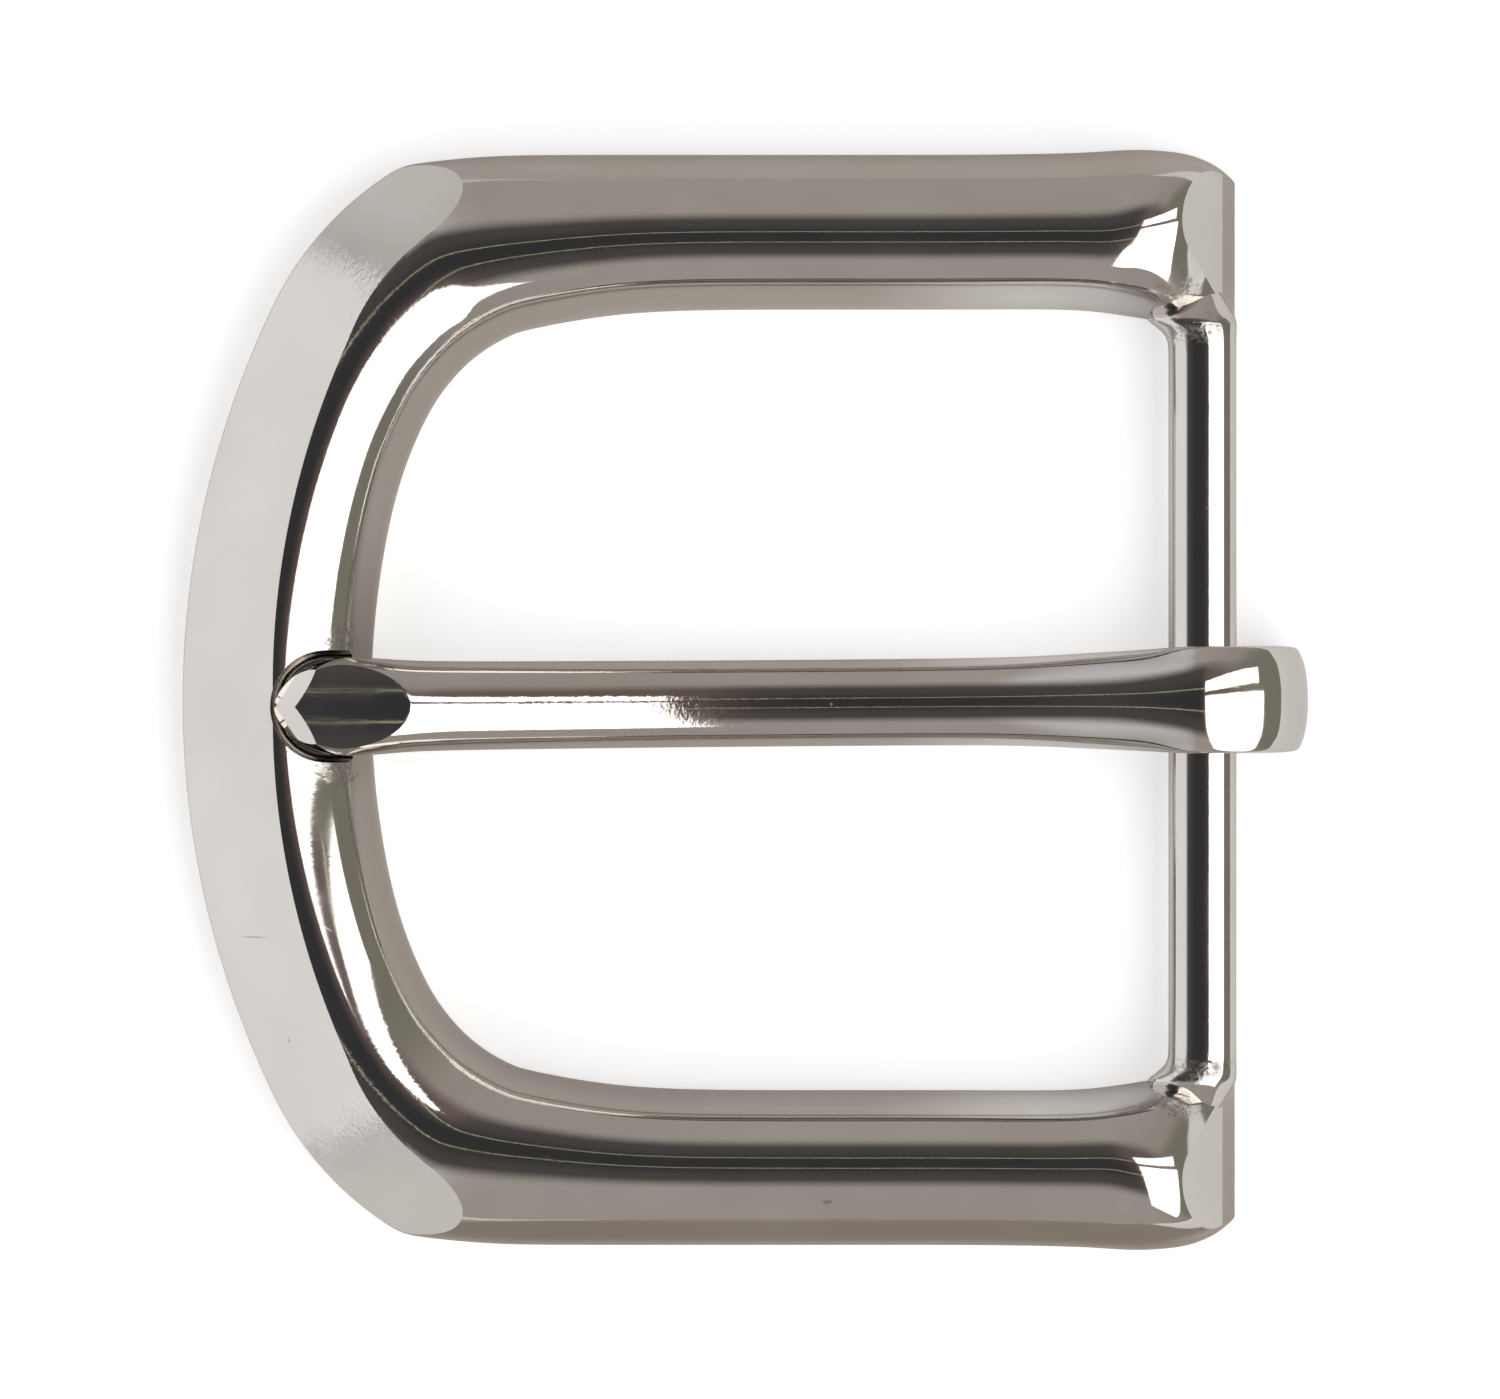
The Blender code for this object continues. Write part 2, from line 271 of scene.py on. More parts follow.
def make_horseshoe():
    """One arm and half the front as a half-round section, mirrored to the other side."""
    stations = list(horseshoe_stations())
    begin_piece("horseshoe", 28)
    width = stations[0][3] * MM
    outer_half = CROWN_SHARE * width
    inner_half = (1.0 - CROWN_SHARE) * width
    rise = (CROWN_Z - WALL_Z) * MM
    pick(lambda place: place.x < -0.00001)
    bpy.ops.transform.resize(value=(outer_half, 1.0, 1.0), center_override=(0.0, 0.0, 0.0))
    pick(lambda place: place.x > 0.00001)
    bpy.ops.transform.resize(value=(inner_half, 1.0, 1.0), center_override=(0.0, 0.0, 0.0))
    bpy.ops.mesh.select_all(action="SELECT")
    bpy.ops.transform.resize(value=(1.0, 1.0, rise), center_override=(0.0, 0.0, 0.0))
    crown_x = FRONT_X + CROWN_SHARE * stations[0][3]
    bpy.ops.transform.translate(value=(crown_x, 0.0, WALL_Z))
    pick(lambda place: place.z < WALL_Z - 0.00005)
    bpy.ops.transform.resize(value=(1.0, 1.0, 0.0), center_override=(0.0, 0.0, 0.0))
    bpy.ops.mesh.select_all(action="SELECT")
    for before, after in zip(stations, stations[1:]):
        carry_section(before, after)
        if after[0] > END_CREST_X:
            lean_crest(after, END_CREST_LEAN)
        elif after[2] < CURVE_END_TURN:
            lean_crest(after, CURVE_CREST_LEAN)
    bpy.ops.mesh.edge_face_add()
    horseshoe = end_piece()
    mirror_across_strap(horseshoe)
    apply_modifier(horseshoe, "SUBSURF", levels=2, render_levels=2)
    return horseshoe


def cut_arm_ends(obj):
    """Cuts both arms off with two steep facets below the crease, then an upright wall."""
    half = 0.010
    for x, z, tilt in ARM_CUTS:
        slope = math.radians(tilt)
        bpy.ops.object.select_all(action="DESELECT")
        bpy.ops.mesh.primitive_cube_add(
            size=2.0 * half,
            location=(x + half * math.sin(slope), 0.0, z + half * math.cos(slope)),
            rotation=(0.0, slope, 0.0),
            scale=(1.0, 3.0, 1.0),
        )
        bpy.ops.object.transform_apply(location=True, rotation=True, scale=True)
        combine(obj, bpy.context.object, "DIFFERENCE")


def make_bar():
    """The heel bar: an oval, flatter on top, whose ends swell where they run into the arms."""
    begin_piece("bar", 24)
    bpy.ops.transform.resize(
        value=(BAR_HALF_WIDTH * MM, 1.0, BAR_HALF_HEIGHT * MM),
        center_override=(0.0, 0.0, 0.0),
    )
    bpy.ops.transform.translate(value=(BAR_X, 0.0, BAR_Z))
    for low, high, wider in BAR_FLATS:
        ring = narrow(lambda place: low < (place.z - BAR_Z) / BAR_HALF_HEIGHT < high)
        bpy.ops.transform.resize(value=(wider, 1.0, 1.0), center_override=(BAR_X, 0.0, BAR_Z))
        select_again(ring)
    for step_y, wider, taller, shift_x, shift_z in BAR_RUN:
        bpy.ops.mesh.extrude_region_move()
        bpy.ops.transform.resize(value=(wider, 1.0, taller), center_override=(BAR_X, 0.0, BAR_Z))
        bpy.ops.transform.translate(value=(shift_x, step_y, shift_z))
    bpy.ops.mesh.edge_face_add()
    bar = end_piece()
    mirror_across_strap(bar)
    apply_modifier(bar, "SUBSURF", levels=2, render_levels=2)
    return bar


def make_facet_cutter():
    """What the linishing belt took off: all above a slope that follows the front edge."""
    knots = [0.0, chain_length(OUTER_ARCS[:1]), chain_length(OUTER_ARCS[:2])]
    stops = []
    for zone, count in enumerate((36, 18)):
        slopes = steps_between(FACET_SLOPES[zone], FACET_SLOPES[zone + 1], count)
        for distance, slope in zip(steps_between(knots[zone], knots[zone + 1], count), slopes):
            stops.append((distance, slope))
    stops += [(knots[-1] + run_on, FACET_SLOPES[-1]) for run_on in (0.0, 0.004, 0.010)]
    begin_piece("facet_cutter", 4)
    pick(lambda place: place.z < -0.0005)
    bpy.ops.transform.translate(value=(-0.0017, 0.0, 0.001 - 0.0017 * FACET_SLOPES[0]))
    pick(lambda place: place.x < -0.0005 and place.z > -0.0005)
    bpy.ops.transform.translate(value=(-0.0007, 0.0, 0.012))
    pick(lambda place: place.x > 0.0005)
    bpy.ops.transform.translate(value=(0.0060, 0.0, 0.0070 * FACET_SLOPES[0]))
    pick(lambda place: place.z > 0.0005 and abs(place.x) < 0.0005)
    bpy.ops.transform.translate(value=(0.0070, 0.0, 0.014))
    bpy.ops.mesh.select_all(action="SELECT")
    bpy.ops.transform.translate(value=(FRONT_X, 0.0, 0.0))
    stations = []
    for distance, slope in stops:
        x, y, heading = along(FRONT_X, OUTER_ARCS[:2], distance)
        stations.append((x, y, math.degrees(heading), 1.0, slope))
    for before, after in zip(stations, stations[1:]):
        carry_section(before, after)
    bpy.ops.mesh.edge_face_add()
    bpy.ops.mesh.select_all(action="SELECT")
    bpy.ops.transform.translate(value=(0.0, 0.0, FACET_EDGE_Z))
    cutter = end_piece()
    mirror_across_strap(cutter)
    return cutter


def make_seat_cutter():
    """The U-shaped seat for the tongue's tip, open towards the strap window."""
    if bpy.context.mode != "OBJECT":
        bpy.ops.object.mode_set(mode="OBJECT")
    bpy.ops.object.select_all(action="DESELECT")
    depth = CROWN_Z
    bpy.ops.mesh.primitive_cylinder_add(
        vertices=72,
        radius=SEAT_RADIUS,
        depth=depth,
        location=(SEAT_CENTRE_X, SEAT_CENTRE_Y, SEAT_FLOOR_Z + depth / 2.0),
    )
    bpy.ops.object.transform_apply(location=True)
    bpy.context.object.name = "seat_cutter"
    bpy.ops.object.mode_set(mode="EDIT")
    bpy.ops.mesh.select_mode(type="VERT")
    pick(lambda place: place.x > SEAT_CENTRE_X + 0.00001)
    bpy.ops.transform.translate(value=(0.005, 0.0, 0.0))
    pick(lambda place: place.z < SEAT_FLOOR_Z + 0.0001)
    bpy.ops.mesh.bevel(offset=0.0004, segments=12)
    return end_piece()


horseshoe = make_horseshoe()
cut_arm_ends(horseshoe)
combine(horseshoe, make_facet_cutter(), "DIFFERENCE")
combine(horseshoe, make_bar(), "UNION")
combine(horseshoe, make_seat_cutter(), "DIFFERENCE")
horseshoe.name = "frame_casting"
bpy.ops.object.select_all(action="DESELECT")
horseshoe.select_set(True)
bpy.context.view_layer.objects.active = horseshoe
bpy.ops.object.shade_smooth_by_angle(angle=math.radians(SMOOTH_BELOW))


def new_group(name, inputs, output):
    """A node group with these named inputs (name, socket kind, start value) and one output."""
    group = bpy.data.node_groups.new(name, "ShaderNodeTree")
    for title, kind, value in inputs:
        socket = group.interface.new_socket(title, in_out="INPUT", socket_type=kind)
        if value is not None:
            socket.default_value = value
    group.interface.new_socket(output, in_out="OUTPUT", socket_type="NodeSocketFloat")
    return group, group.nodes.new("NodeGroupInput"), group.nodes.new("NodeGroupOutput")


def add_math(tree, operation, *sources):
    """A maths node over these sockets or numbers."""
    node = tree.nodes.new("ShaderNodeMath")
    node.operation = operation
    for index, source in enumerate(sources):
        if isinstance(source, float):
            node.inputs[index].default_value = source
        else:
            tree.links.new(source, node.inputs[index])
    return node.outputs[0]


def add_noise(tree, vector, scale, detail):
    node = tree.nodes.new("ShaderNodeTexNoise")
    node.inputs["Scale"].default_value = scale
    node.inputs["Detail"].default_value = detail
    tree.links.new(vector, node.inputs["Vector"])
    return node.outputs["Fac"]


def add_scale(tree, vector, factors):
    node = tree.nodes.new("ShaderNodeVectorMath")
    node.operation = "MULTIPLY"
    tree.links.new(vector, node.inputs[0])
    node.inputs[1].default_value = factors
    return node.outputs[0]


def add_fade(tree, value, start, end):
    """0 at the start value and 1 at the end value, with a smooth step between."""
    node = tree.nodes.new("ShaderNodeMapRange")
    node.interpolation_type = "SMOOTHSTEP"
    node.inputs["From Min"].default_value = start
    node.inputs["From Max"].default_value = end
    tree.links.new(value, node.inputs["Value"])
    return node.outputs["Result"]


def add_mix(tree, factor, low, high):
    """A blend of two colours, each plain or from another node."""
    node = tree.nodes.new("ShaderNodeMix")
    node.data_type = "RGBA"
    tree.links.new(factor, node.inputs["Factor"])
    for title, color in (("A", low), ("B", high)):
        if isinstance(color, tuple):
            node.inputs[title].default_value = (*color, 1.0)
        else:
            tree.links.new(color, node.inputs[title])
    return node.outputs["Result"]


def make_ripple_group():
    """The slight orange peel that polishing leaves on a casting."""
    group, start, end = new_group("cast_ripple", (("Vector", "NodeSocketVector", None),), "Height")
    broad = add_noise(group, start.outputs["Vector"], 3600.0, 2.0)
    fine = add_noise(group, start.outputs["Vector"], 11000.0, 2.0)
    total = add_math(group, "MULTIPLY_ADD", fine, 0.35, broad)
    group.links.new(total, end.inputs["Height"])
    return group


def make_lines_group():
    """Fine polishing lines that run from left to right."""
    inputs = (("Vector", "NodeSocketVector", None),)
    group, start, end = new_group("polishing_lines", inputs, "Height")
    stretched = add_scale(group, start.outputs["Vector"], (0.035, 1.0, 1.0))
    group.links.new(add_noise(group, stretched, 9000.0, 3.0), end.inputs["Height"])
    return group


def make_scratch_group():
    """A few thin straight scratches, each fading along its length."""
    inputs = (("Vector", "NodeSocketVector", None), ("Turn", "NodeSocketFloat", 0.3))
    group, start, end = new_group("hairline_scratches", inputs, "Mask")
    turned = group.nodes.new("ShaderNodeVectorRotate")
    turned.rotation_type = "Z_AXIS"
    group.links.new(start.outputs["Vector"], turned.inputs["Vector"])
    group.links.new(start.outputs["Turn"], turned.inputs["Angle"])
    wave = group.nodes.new("ShaderNodeTexWave")
    wave.inputs["Scale"].default_value = 130.0
    wave.inputs["Distortion"].default_value = 3.0
    wave.inputs["Detail"].default_value = 1.0
    wave.inputs["Detail Scale"].default_value = 0.6
    group.links.new(turned.outputs["Vector"], wave.inputs["Vector"])
    line = add_fade(group, wave.outputs["Fac"], 0.9994, 1.0)
    where = add_fade(group, add_noise(group, turned.outputs["Vector"], 260.0, 1.0), 0.62, 0.70)
    group.links.new(add_math(group, "MULTIPLY", line, where), end.inputs["Mask"])
    return group


def make_mark_group():
    """One mark or patch of a given size at a given place, with an uneven edge."""
    group, start, end = new_group(
        "mark",
        (
            ("Vector", "NodeSocketVector", None),
            ("Centre", "NodeSocketVector", (0.0, 0.0, 0.0)),
            ("Size", "NodeSocketVector", (0.001, 0.001, 0.001)),
        ),
        "Mask",
    )
    away = group.nodes.new("ShaderNodeVectorMath")
    away.operation = "SUBTRACT"
    group.links.new(start.outputs["Vector"], away.inputs[0])
    group.links.new(start.outputs["Centre"], away.inputs[1])
    relative = group.nodes.new("ShaderNodeVectorMath")
    relative.operation = "DIVIDE"
    group.links.new(away.outputs[0], relative.inputs[0])
    group.links.new(start.outputs["Size"], relative.inputs[1])
    length = group.nodes.new("ShaderNodeVectorMath")
    length.operation = "LENGTH"
    group.links.new(relative.outputs[0], length.inputs[0])
    noise = add_noise(group, relative.outputs[0], 2.5, 3.0)
    uneven = add_math(group, "MULTIPLY_ADD", noise, 1.2, length.outputs["Value"])
    group.links.new(add_fade(group, uneven, 1.6, 0.7), end.inputs["Mask"])
    return group


RIPPLE = make_ripple_group()
LINES = make_lines_group()
SCRATCHES = make_scratch_group()
MARK = make_mark_group()


def add_group(tree, group, vector, **settings):
    """Adds a node group on this vector and returns its output."""
    node = tree.nodes.new("ShaderNodeGroup")
    node.node_tree = group
    tree.links.new(vector, node.inputs["Vector"])
    for title, value in settings.items():
        node.inputs[title].default_value = value
    return node.outputs[0]


def total_marks(tree, vector, places):
    """The union of some marks, each a centre and a size in metres."""
    total = None
    for centre, size in places:
        mask = add_group(tree, MARK, vector, Centre=centre, Size=size)
        total = mask if total is None else add_math(tree, "MAXIMUM", total, mask)
    return total


def add_bump(tree, height, depth, normal=None):
    """A bump of this depth in metres over an earlier normal."""
    node = tree.nodes.new("ShaderNodeBump")
    node.inputs["Strength"].default_value = 1.0
    node.inputs["Distance"].default_value = depth
    tree.links.new(height, node.inputs["Height"])
    if normal is not None:
        tree.links.new(normal, node.inputs["Normal"])
    return node.outputs["Normal"]


NICKEL_SHADES = ((0.635, 0.602, 0.565), (0.665, 0.638, 0.605))
# Brown for grime with painted shade in the crevices where parts meet, and for nicks
DIRT_AND_SHADE_BROWN = (0.16, 0.135, 0.115)
LINE_DEPTH = 0.0000035
SCRATCH_DEPTH = 0.0000005
DIRT_DEPTH = 0.000003


def make_nickel(name, ripple_depth, rippled, lined, grime_and_shade_places, nicked):
    """Bright nickel plate, with where it is rippled, lined, nicked, and darkened by grime with
    painted shade in its crevices.
    """
    material = bpy.data.materials.new(name)
    material.use_nodes = True
    tree = material.node_tree
    shader = tree.nodes["Principled BSDF"]
    shader.inputs["Metallic"].default_value = 1.0
    vector = tree.nodes.new("ShaderNodeTexCoord").outputs["Object"]
    # Grime with painted shade: darker where the parts meet and round the recesses, broken up by
    # noise
    grime_and_shade_noise = add_fade(tree, add_noise(tree, vector, 5200.0, 3.0), 0.42, 0.62)
    grime_and_shade = add_math(tree, "MULTIPLY", total_marks(tree, vector, grime_and_shade_places), grime_and_shade_noise)
    nicks = total_marks(tree, vector, nicked)
    dirt_and_shade = add_math(tree, "MAXIMUM", grime_and_shade, nicks)
    scratches = add_math(
        tree,
        "MAXIMUM",
        add_group(tree, SCRATCHES, vector, Turn=0.35),
        add_group(tree, SCRATCHES, vector, Turn=-1.1),
    )
    tone = tree.nodes.new("ShaderNodeValToRGB")
    for element, position, shade in zip(tone.color_ramp.elements, (0.35, 0.65), NICKEL_SHADES):
        element.position = position
        element.color = (*shade, 1.0)
    tree.links.new(add_noise(tree, vector, 190.0, 2.0), tone.inputs["Fac"])
    cover = add_math(tree, "MULTIPLY", dirt_and_shade, 0.8)
    # The base colour darkens under grime, painted shade and nicks
    color = add_mix(tree, cover, tone.outputs["Color"], DIRT_AND_SHADE_BROWN)
    tree.links.new(color, shader.inputs["Base Color"])
    line_mask = total_marks(tree, vector, lined)
    smudge = add_fade(tree, add_noise(tree, vector, 420.0, 3.0), 0.35, 0.75)
    rough = add_math(tree, "MULTIPLY_ADD", smudge, 0.035, 0.045)
    rough = add_math(tree, "MULTIPLY_ADD", line_mask, 0.07, rough)
    rough = add_math(tree, "MULTIPLY_ADD", dirt_and_shade, 0.30, rough)
    rough = add_math(tree, "MULTIPLY_ADD", scratches, 0.06, rough)
    tree.links.new(rough, shader.inputs["Roughness"])
    ripple = add_math(tree, "ADD", total_marks(tree, vector, rippled), 0.25)
    ripple = add_math(tree, "MULTIPLY", add_group(tree, RIPPLE, vector), ripple)
    normal = add_bump(tree, ripple, ripple_depth)
    lines = add_math(tree, "ADD", line_mask, 0.06)
    lines = add_math(tree, "MULTIPLY", add_group(tree, LINES, vector), lines)
    normal = add_bump(tree, lines, LINE_DEPTH, normal)
    normal = add_bump(tree, add_math(tree, "MULTIPLY", scratches, -1.0), SCRATCH_DEPTH, normal)
    normal = add_bump(tree, add_math(tree, "MULTIPLY", dirt_and_shade, -1.0), DIRT_DEPTH, normal)
    tree.links.new(normal, shader.inputs["Normal"])
    return material


nickel = make_nickel(
    "frame_nickel",
    0.0000026,
    rippled=(
        ((-0.0150, 0.0170, 0.0045), (0.0060, 0.0055, 0.0060)),
        ((-0.0150, -0.0170, 0.0045), (0.0070, 0.0060, 0.0060)),
        ((-0.0190, 0.0030, 0.0045), (0.0016, 0.0030, 0.0030)),
    ),
    lined=(
        ((0.0010, 0.0243, 0.0040), (0.0130, 0.0018, 0.0040)),
        ((0.0020, -0.0243, 0.0040), (0.0130, 0.0018, 0.0040)),
    ),
    # Grime with painted shade where the bar runs into the arms and round the tip's seat
    grime_and_shade_places=(
        ((0.0212, 0.0172, 0.0030), (0.0022, 0.0010, 0.0030)),
        ((0.0212, -0.0172, 0.0030), (0.0022, 0.0010, 0.0030)),
        ((0.0198, 0.0190, 0.0035), (0.0014, 0.0010, 0.0020)),
        ((0.0198, -0.0190, 0.0035), (0.0014, 0.0010, 0.0020)),
        ((-0.0185, 0.0028, 0.0050), (0.0018, 0.0008, 0.0016)),
        ((-0.0185, -0.0034, 0.0050), (0.0018, 0.0008, 0.0016)),
    ),
    nicked=(
        ((0.0038, -0.0232, 0.0050), (0.00035, 0.00016, 0.0020)),
        ((-0.0212, -0.0158, 0.0050), (0.00012, 0.00018, 0.0020)),
        ((-0.0230, -0.0110, 0.0045), (0.00110, 0.00004, 0.0020)),
    ),
)
horseshoe.data.materials.clear()
horseshoe.data.materials.append(nickel)
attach(horseshoe, "frame")
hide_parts("frame")

# ---------------------------------------------------------------------------
# The tongue. One die-cast and plated prong: a broad flat tip that lies in the
# frame's seat, a crowned stem that dips to the strap, and a heel bent round
# the bar to a hook, closed tight enough that it can't come off.
# ---------------------------------------------------------------------------

# Half a section, from its crest round to its underside: row of the circle (degrees),
# distance from the middle (mm), depth below the crest (mm)
TONGUE_ROWS = (
    (90, 0.00, 0.00),
    (72, 0.60, 0.07),
    (54, 1.10, 0.25),
    (36, 1.40, 0.46),
    (18, 1.57, 0.61),
    (0, 1.93, 1.08),
    (-18, 2.08, 1.50),
    (-36, 1.93, 1.84),
    (-54, 1.30, 2.00),
    (-72, 0.65, 2.00),
    (-90, 0.00, 2.00),
)
ROW_WIDTH = 0.00416
ROW_THICKNESS = 0.0020
# x, height of the crest, thickness, width
STEM = (
    (-0.02180, 0.00575, 0.00100, 0.00060),
    (-0.02162, 0.00600, 0.00120, 0.00140),
    (-0.02130, 0.00625, 0.00140, 0.00226),
    (-0.02090, 0.00648, 0.00155, 0.00300),
    (-0.02050, 0.00661, 0.00168, 0.00354),
    (-0.02000, 0.00668, 0.00178, 0.00402),
    (-0.01930, 0.00670, 0.00184, 0.00444),
    (-0.01860, 0.00668, 0.00186, 0.00466),
    (-0.01780, 0.00660, 0.00186, 0.00468),
    (-0.01700, 0.00647, 0.00188, 0.00460),
    (-0.01620, 0.00630, 0.00190, 0.00448),
    (-0.01540, 0.00611, 0.00194, 0.00436),
    (-0.01460, 0.00592, 0.00198, 0.00428),
    (-0.01300, 0.00562, 0.00200, 0.00422),
    (-0.01000, 0.00515, 0.00200, 0.00418),
    (-0.00700, 0.00470, 0.00200, 0.00416),
    (-0.00400, 0.00432, 0.00200, 0.00414),
    (-0.00100, 0.00408, 0.00200, 0.00412),
    (0.00200, 0.00398, 0.00200, 0.00412),
    (0.00600, 0.00396, 0.00200, 0.00412),
    (0.00900, 0.00400, 0.00200, 0.00414),
    (0.01150, 0.00413, 0.00198, 0.00418),
    (0.01350, 0.00433, 0.00192, 0.00430),
    (0.01550, 0.00463, 0.00186, 0.00452),
    (0.01720, 0.00492, 0.00182, 0.00470),
    (0.01860, 0.00514, 0.00180, 0.00484),
)
HEEL_CROWN_X = 0.0208
HEEL_CROWN_Z = 0.00535
HEEL_END_X = 0.0263
HEEL_END_Z = 0.0006
HEEL_WIDTH = 0.00508
HEEL_STEPS = 14
# Depth of the heel's rounded side, from where it leaves the stem to its end
HEEL_LIP = (0.00155, 0.00080)
HEEL_TAPER = 0.0009
HEEL_TAPER_FROM = 0.6
HOOK_THICKNESS = 0.00080
HOOK_STEPS = 8
HOOK_CORNER = 0.0030
# Width of the hook as a share of the heel's, at its start and end
HOOK_WIDTHS = (0.97, 0.90)
# The hole round the bar, and the angles over which heel and hook are fanned round it
HOLE_HALF_HEIGHT = 0.00174
HOLE_HALF_LENGTH = 0.0021
HEEL_FAN = (148.0, -38.0)
HOOK_FAN = (-52.0, -172.0)
# The tip's sections stand upright, and then lean square to the stem over this run
LEAN_FROM_X = -0.0210
LEAN_RUN = 0.0030
# The tongue sits this many degrees askew on the bar
TONGUE_TURN = 0.45
# The pad is ground with a wide wheel, from its start along a run of short steps
PAD_Z = 0.00610
PAD_RADIUS = 0.0090
PAD_START_X = -0.0230
PAD_STEP = 0.00025
PAD_STEPS = 36
PAD_BLOCK_X = -0.0185
PAD_BLOCK = (0.0084, 0.0060, 0.0040)
TIP_BEVEL_X = -0.0208
TIP_SLOPE = 30.0
TIP_SWEEP = 38.0
TIP_WHEEL = 0.006


def mixed(first, second, share):
    return first + (second - first) * share


def between(top, under, width, lip):
    """A section from a point outside to one inside, with the depth of its rounded side."""
    thickness = math.dist(top, under)
    tilt = math.degrees(math.atan2(top[0] - under[0], top[1] - under[1]))
    return top[0], top[1], tilt, thickness, width, min(lip, thickness)


def stem_sections():
    """Sections of the tip and the stem, each square to the run of its crest."""
    for index, (x, crest_z, thickness, width) in enumerate(STEM):
        before = STEM[max(index - 1, 0)]
        after = STEM[min(index + 1, len(STEM) - 1)]
        slope = (after[1] - before[1]) / (after[0] - before[0])
        share = min(1.0, max(0.0, (x - LEAN_FROM_X) / LEAN_RUN))
        tilt = -math.degrees(math.atan(slope)) * share
        yield x, crest_z, tilt, thickness, width, thickness


def heel_sections():
    """Fanned round the hole: a long sweep outside, then a thin hook below."""
    hole_x = BAR_X - HOLE_HALF_HEIGHT + HOLE_HALF_LENGTH
    for step in range(HEEL_STEPS + 1):
        share = step / HEEL_STEPS
        outside = math.pi / 2.0 * share
        inside = math.radians(mixed(*HEEL_FAN, share))
        top = (
            HEEL_CROWN_X + (HEEL_END_X - HEEL_CROWN_X) * math.sin(outside),
            HEEL_END_Z + (HEEL_CROWN_Z - HEEL_END_Z) * math.cos(outside),
        )
        under = (
            hole_x + HOLE_HALF_LENGTH * math.cos(inside),
            BAR_Z + HOLE_HALF_HEIGHT * math.sin(inside),
        )
        width = HEEL_WIDTH - HEEL_TAPER * max(0.0, share - HEEL_TAPER_FROM) ** 2
        yield between(top, under, width, mixed(*HEEL_LIP, share))
    for step in range(HOOK_STEPS + 1):
        share = step / HOOK_STEPS
        angle = math.radians(mixed(*HOOK_FAN, share))
        under = (
            hole_x + HOLE_HALF_LENGTH * math.cos(angle),
            BAR_Z + HOLE_HALF_HEIGHT * math.sin(angle),
        )
        reach = HOOK_CORNER if step == 0 else HOOK_THICKNESS
        top = (under[0] + reach * math.cos(angle), under[1] + HOOK_THICKNESS * math.sin(angle))
        width = mixed(HEEL_WIDTH * HOOK_WIDTHS[0], HEEL_WIDTH * HOOK_WIDTHS[1], share)
        yield between(top, under, width, HOOK_THICKNESS)


def tilt_about(degrees, x, z):
    """Tips the selection over towards +X about a point."""
    bpy.ops.transform.rotate(
        value=-math.radians(degrees), orient_axis="Y", center_override=(x, 0.0, z)
    )


def drop_underside(crest_z, lip, drop):
    """Moves the underside of an upright section away from its rounded outer side."""
    ring = narrow(lambda place: place.z < crest_z - 0.81 * lip)
    bpy.ops.transform.translate(value=(0.0, 0.0, -drop))
    select_again(ring)


def carry_tongue(before, after):
    """Extrudes the open end to the next section."""
    x, z, tilt, thickness, width, lip = before
    bpy.ops.mesh.extrude_region_move()
    tilt_about(-tilt, x, z)
    drop_underside(z, lip, lip - thickness)
    bpy.ops.transform.resize(
        value=(1.0, after[4] / width, after[5] / lip), center_override=(x, 0.0, z)
    )
    drop_underside(z, after[5], after[3] - after[5])
    tilt_about(after[2], x, z)
    bpy.ops.transform.translate(value=(after[0] - x, 0.0, after[1] - z))


def make_pad_cutter():
    """What the tip's pad was ground down from: all above a very flat cylinder."""
    begin_piece("pad_cutter", 256)
    turn_about(90.0, 0.0, 0.0)
    bpy.ops.transform.resize(
        value=(1.0, PAD_RADIUS * MM, PAD_RADIUS * MM), center_override=(0.0, 0.0, 0.0)
    )
    bpy.ops.transform.translate(value=(PAD_START_X, 0.0, PAD_Z - PAD_RADIUS))
    bpy.ops.mesh.edge_face_add()
    for _ in range(PAD_STEPS):
        bpy.ops.mesh.extrude_region_move()
        bpy.ops.transform.translate(value=(PAD_STEP, 0.0, 0.0))
    drum = end_piece()
    bpy.ops.object.select_all(action="DESELECT")
    bpy.ops.mesh.primitive_cube_add(
        size=1.0, location=(PAD_BLOCK_X, 0.0, PAD_Z + 0.001), scale=PAD_BLOCK
    )
    bpy.ops.object.transform_apply(location=True, scale=True)
    cutter = bpy.context.object
    combine(cutter, drum, "DIFFERENCE")
    return cutter


def bevel_tip(obj):
    """Grinds the two sloping faces that make the tip an arrow's point."""
    for side in (-1.0, 1.0):
        bpy.ops.object.select_all(action="DESELECT")
        bpy.ops.mesh.primitive_cube_add(size=TIP_WHEEL, location=(0.0, 0.0, TIP_WHEEL / 2.0))
        bpy.ops.object.transform_apply(location=True)
        cutter = bpy.context.object
        cutter.rotation_euler = (0.0, -math.radians(TIP_SLOPE), side * math.radians(TIP_SWEEP))
        cutter.location = (TIP_BEVEL_X, 0.0, PAD_Z)
        bpy.ops.object.transform_apply(location=True, rotation=True)
        combine(obj, cutter, "DIFFERENCE")


